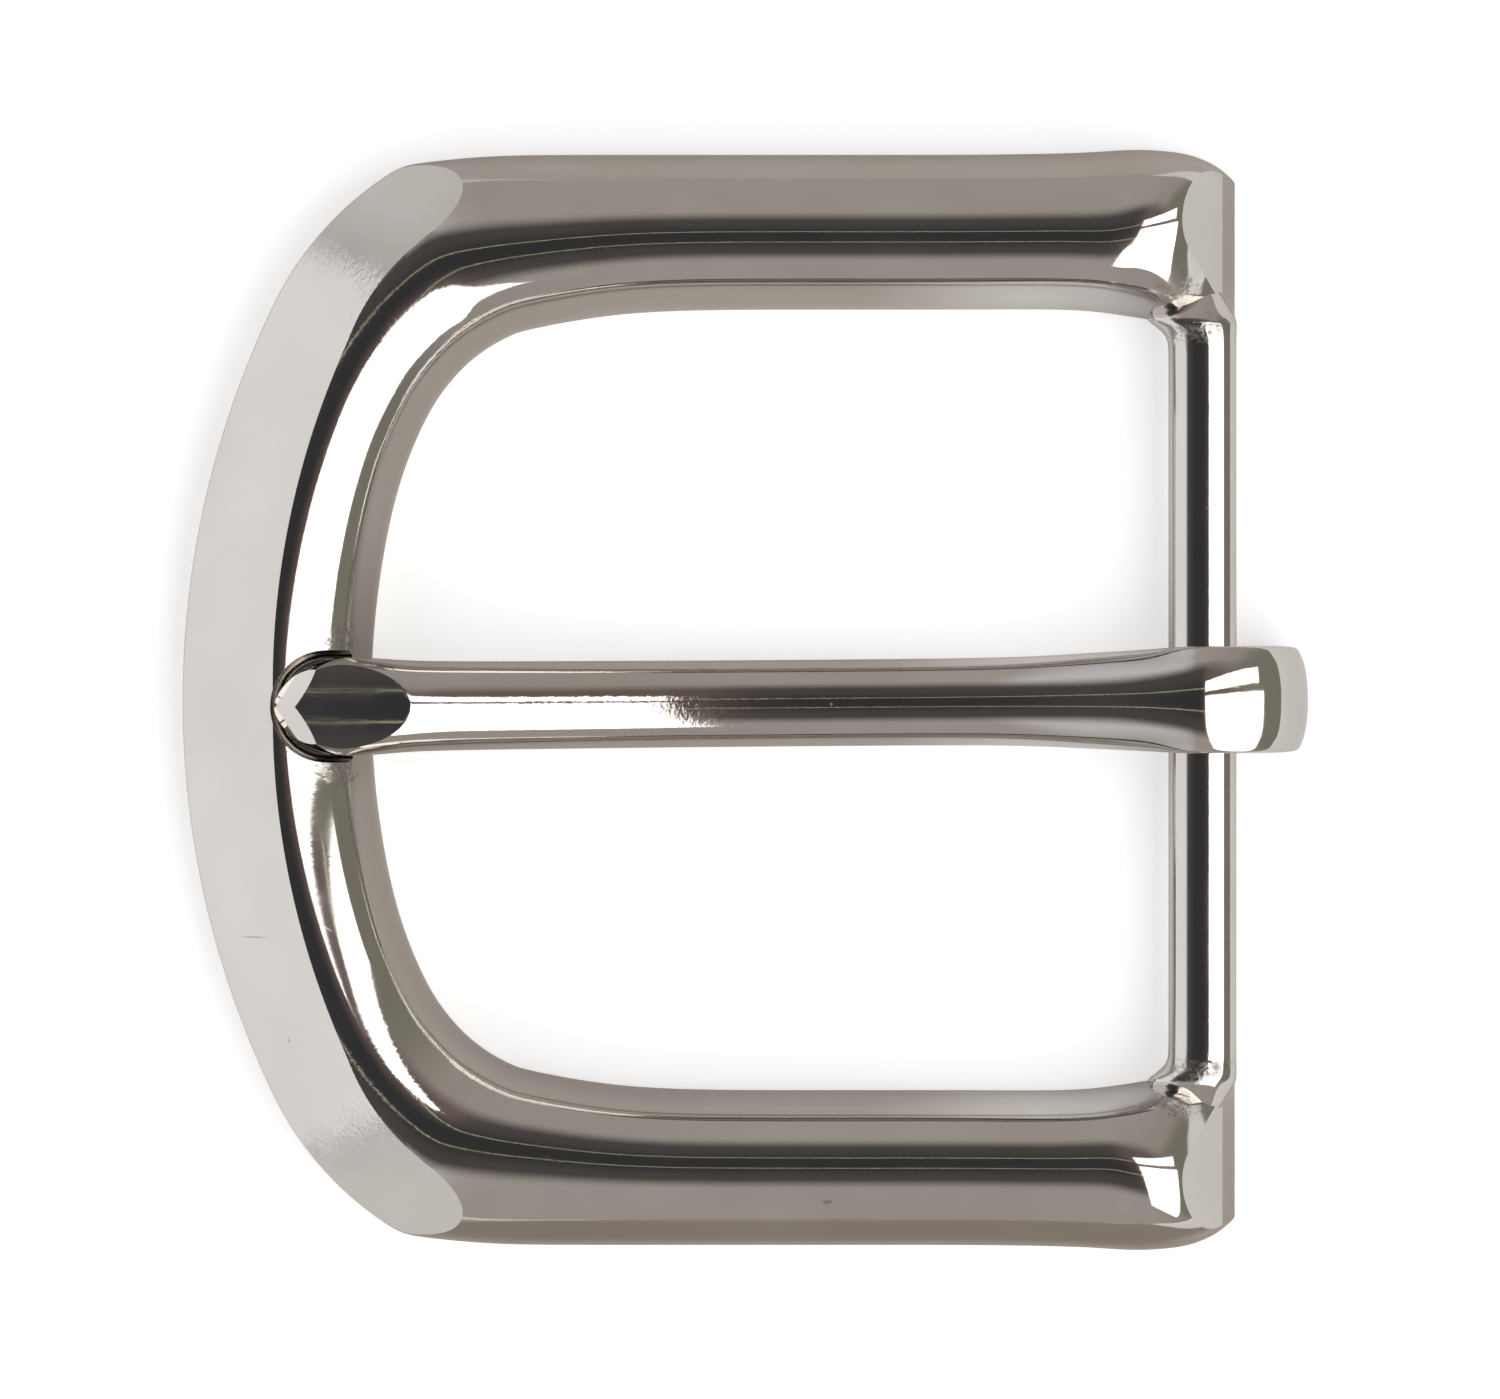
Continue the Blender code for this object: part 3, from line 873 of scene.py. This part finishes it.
def make_tongue():
    """The tongue's section, shaped row by row, carried from its tip to the end of its hook."""
    begin_piece("tongue_casting", 20)
    turn_about(90.0, 0.0, 0.0)
    for degrees, aside, depth in TONGUE_ROWS:
        row_z = 0.001 * math.sin(math.radians(degrees))
        row_y = 0.001 * math.cos(math.radians(degrees))
        pick(lambda place: abs(place.z - row_z) < 0.00001)
        if row_y > 0.00001:
            wider = aside * 0.001 / row_y
            bpy.ops.transform.resize(value=(1.0, wider, 1.0), center_override=(0.0, 0.0, row_z))
        bpy.ops.transform.translate(value=(0.0, 0.0, 0.1 - depth * 0.001 - row_z))
    bpy.ops.mesh.select_all(action="SELECT")
    bpy.ops.transform.translate(value=(0.0, 0.0, -0.1))
    stations = [*stem_sections(), *heel_sections()]
    x, z, tilt, thickness, width, lip = stations[0]
    bpy.ops.transform.resize(
        value=(1.0, width / ROW_WIDTH, thickness / ROW_THICKNESS), center_override=(0.0, 0.0, 0.0)
    )
    tilt_about(tilt, 0.0, 0.0)
    bpy.ops.transform.translate(value=(x, 0.0, z))
    for before, after in zip(stations, stations[1:]):
        carry_tongue(before, after)
    bpy.ops.mesh.edge_face_add()
    pick(lambda place: place.x < x + 0.00012)
    bpy.ops.mesh.edge_face_add()
    tongue = end_piece()
    apply_modifier(tongue, "SUBSURF", levels=2, render_levels=2)
    combine(tongue, make_pad_cutter(), "DIFFERENCE")
    bevel_tip(tongue)
    bpy.context.view_layer.objects.active = tongue
    bpy.ops.object.mode_set(mode="EDIT")
    bpy.ops.mesh.select_all(action="SELECT")
    turn_about(-TONGUE_TURN, BAR_X, 0.0)
    bpy.ops.object.mode_set(mode="OBJECT")
    return tongue


tongue = make_tongue()
bpy.ops.object.select_all(action="DESELECT")
tongue.select_set(True)
bpy.context.view_layer.objects.active = tongue
bpy.ops.object.shade_smooth_by_angle(angle=math.radians(20.0))
tongue_nickel = make_nickel(
    "tongue_nickel",
    0.0000030,
    rippled=(((-0.0050, 0.0, 0.0045), (0.0140, 0.0040, 0.0040)),),
    lined=(((-0.0188, 0.0, 0.0060), (0.0034, 0.0030, 0.0020)),),
    # Grime with painted shade along the low sides of the stem and heel beside the bar
    grime_and_shade_places=(
        ((0.0180, 0.0026, 0.0030), (0.0060, 0.0004, 0.0010)),
        ((0.0180, -0.0026, 0.0030), (0.0060, 0.0004, 0.0010)),
    ),
    nicked=(((0.0040, -0.0002, 0.0045), (0.00010, 0.00010, 0.0020)),),
)
tongue.data.materials.clear()
tongue.data.materials.append(tongue_nickel)
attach(tongue, "tongue")
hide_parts("tongue")

# ---------------------------------------------------------------------------
# The table, a sheet of white paper, under a window of two panes on the +X side,
# two thin ceiling lights and a soft room. The camera looks straight down.
# ---------------------------------------------------------------------------

PAPER_WHITE = (0.88, 0.88, 0.88)
# The table lies just below the buckle's flat back, so that the two don't touch.
TABLE_Z = -0.00002

bpy.ops.object.select_all(action="DESELECT")
bpy.ops.mesh.primitive_plane_add(size=1.6, location=(0.0, 0.0, TABLE_Z))
table = bpy.context.object
table.name = "table"
bpy.ops.object.transform_apply(location=True)
paper = bpy.data.materials.new("white_paper")
paper.use_nodes = True
paper_tree = paper.node_tree
paper_shader = paper_tree.nodes["Principled BSDF"]
paper_shader.inputs["Roughness"].default_value = 0.9
paper_shader.inputs["Specular IOR Level"].default_value = 0.0
paper_shader.inputs["Emission Color"].default_value = (1.0, 1.0, 1.0, 1.0)
seen = paper_tree.nodes.new("ShaderNodeLightPath")
lift = add_math(paper_tree, "MULTIPLY", seen.outputs["Is Camera Ray"], 0.45)
paper_tree.links.new(lift, paper_shader.inputs["Emission Strength"])
# What the metal reflects of the table is painted light and shade that the camera never sees:
# painted shade round the buckle, painted light past the front, in the window at the heel end and
# past the heel, and deeper painted shade on the -Y side.
spot = paper_tree.nodes.new("ShaderNodeTexCoord")
across = paper_tree.nodes.new("ShaderNodeSeparateXYZ")
paper_tree.links.new(spot.outputs["Object"], across.inputs["Vector"])
side = add_math(paper_tree, "ABSOLUTE", across.outputs["Y"])
in_window = add_math(
    paper_tree,
    "MULTIPLY",
    add_fade(paper_tree, across.outputs["X"], 0.005, 0.014),
    add_fade(paper_tree, side, 0.020, 0.015),
)
past_heel = add_fade(paper_tree, across.outputs["X"], 0.0245, 0.0268)
past_front = add_fade(paper_tree, across.outputs["X"], -0.015, -0.026)
bright = add_math(paper_tree, "MAXIMUM", past_heel, past_front)
bright = add_math(paper_tree, "MAXIMUM", in_window, bright)
near_side = add_fade(paper_tree, across.outputs["Y"], -0.022, -0.030)
# Painted shade on the table round the buckle, browner and darker towards -Y, seen only in the
# metal
painted_shade = add_mix(paper_tree, near_side, (0.60, 0.565, 0.535), (0.36, 0.32, 0.28))
# Painted light where the table lies open, past the buckle and in its window, seen only in the
# metal
reflected_light_and_shade = add_mix(paper_tree, bright, painted_shade, (0.92, 0.915, 0.92))
shown = add_mix(paper_tree, seen.outputs["Is Camera Ray"], reflected_light_and_shade, PAPER_WHITE)
paper_tree.links.new(shown, paper_shader.inputs["Base Color"])
table.data.materials.append(paper)

WINDOW_TILT = math.radians(44.0)
WINDOW_DISTANCE = 0.6
PANE_RADIANCE = 2.0
TUBE_LENGTH = 1.8
TUBE_WIDTH = 0.014
TUBE_HEIGHT = 1.0
TUBE_RADIANCE = 0.55


def add_light(name, size, size_y, radiance, place, tilt):
    """A rectangular light of even radiance, tipped over towards the buckle by the tilt."""
    light = bpy.data.lights.new(name, "AREA")
    light.shape = "RECTANGLE"
    light.size, light.size_y = size, size_y
    light.energy = radiance * math.pi * size * size_y
    lamp = bpy.data.objects.new(name, light)
    lamp.location = place
    lamp.rotation_euler = (0.0, tilt, 0.0)
    bpy.context.scene.collection.objects.link(lamp)
    return light


def add_pane(name, low, high, near, far):
    """A pane of the window on the +X side, by its edges in the window's own plane."""
    up = (low + high) / 2.0
    middle = (
        WINDOW_DISTANCE * math.sin(WINDOW_TILT) - up * math.cos(WINDOW_TILT),
        (near + far) / 2.0,
        WINDOW_DISTANCE * math.cos(WINDOW_TILT) + up * math.sin(WINDOW_TILT),
    )
    add_light(name, high - low, far - near, PANE_RADIANCE, middle, WINDOW_TILT)


add_pane("window_pane_long", -0.26, 0.40, -0.95, 0.045)
add_pane("window_pane_short", -0.20, 0.40, 0.085, 0.20)


def add_tube(name, y):
    """A thin yellowish ceiling light, long across the buckle from left to right."""
    place = (0.0, y, TUBE_HEIGHT)
    light = add_light(name, TUBE_LENGTH, TUBE_WIDTH, TUBE_RADIANCE, place, 0.0)
    light.color = (1.0, 0.93, 0.60)


add_tube("ceiling_tube_near", -0.165)
add_tube("ceiling_tube_far", 0.165)

world = bpy.data.worlds.new("studio")
bpy.context.scene.world = world
world.use_nodes = True
tree = world.node_tree
background = tree.nodes["Background"]


def ramp(source, stops):
    """A smooth scale of colours over a value."""
    node = tree.nodes.new("ShaderNodeValToRGB")
    node.color_ramp.interpolation = "EASE"
    while len(node.color_ramp.elements) < len(stops):
        node.color_ramp.elements.new(0.5)
    for element, (position, color) in zip(node.color_ramp.elements, stops):
        element.position = position
        element.color = (*color, 1.0)
    tree.links.new(source, node.inputs["Fac"])
    return node.outputs["Color"]


# The room's colour in each direction: pale walls on the -X side and dim ones on the
# +X side, under a dark ceiling that is a little rosy over +X.
sky = tree.nodes.new("ShaderNodeTexCoord")
split = tree.nodes.new("ShaderNodeSeparateXYZ")
tree.links.new(sky.outputs["Generated"], split.inputs["Vector"])
out_x, out_y = split.outputs["X"], split.outputs["Y"]
square_x = add_math(tree, "MULTIPLY", out_x, out_x)
square = add_math(tree, "ADD", square_x, add_math(tree, "MULTIPLY", out_y, out_y))
# 0 straight overhead and 1 at the horizon; then 0 towards -X and 1 towards +X
outward = add_math(tree, "SQRT", square)
bearing = add_math(tree, "DIVIDE", out_x, add_math(tree, "MAXIMUM", outward, 0.001))
bearing = add_math(tree, "MULTIPLY_ADD", bearing, 0.5, 0.5)
surround = ramp(
    bearing,
    (
        (0.15, (1.02, 1.02, 1.03)),
        (0.34, (0.68, 0.68, 0.70)),
        (0.44, (0.455, 0.422, 0.395)),
        (0.80, (0.40, 0.37, 0.34)),
        (0.95, (0.25, 0.24, 0.20)),
    ),
)
ceiling = ramp(outward, ((0.10, (0.045, 0.046, 0.050)), (0.42, (0.085, 0.08, 0.08))))
rosy = ramp(out_x, ((0.02, (0.0, 0.0, 0.0)), (0.22, (0.10, 0.06, 0.052))))
warmer = tree.nodes.new("ShaderNodeMix")
warmer.data_type = "RGBA"
warmer.blend_type = "ADD"
warmer.inputs["Factor"].default_value = 1.0
tree.links.new(ceiling, warmer.inputs["A"])
tree.links.new(rosy, warmer.inputs["B"])
walls = add_fade(tree, outward, 0.46, 0.74)
room = add_mix(tree, walls, warmer.outputs["Result"], surround)
tree.links.new(room, background.inputs["Color"])

bpy.context.scene.view_settings.view_transform = "Standard"

VIEW_DISTANCE = 0.45
VIEW_HEIGHT_Z = 0.0025
VIEW_WIDTH = 0.06977
camera_data = bpy.data.cameras.new("camera")
camera_data.sensor_width = 36.0
camera_data.lens = camera_data.sensor_width * VIEW_DISTANCE / VIEW_WIDTH
camera_data.clip_start = 0.01
camera = bpy.data.objects.new("camera", camera_data)
camera.location = (0.000209, 0.00002, VIEW_HEIGHT_Z + VIEW_DISTANCE)
bpy.context.scene.collection.objects.link(camera)
bpy.context.scene.camera = camera
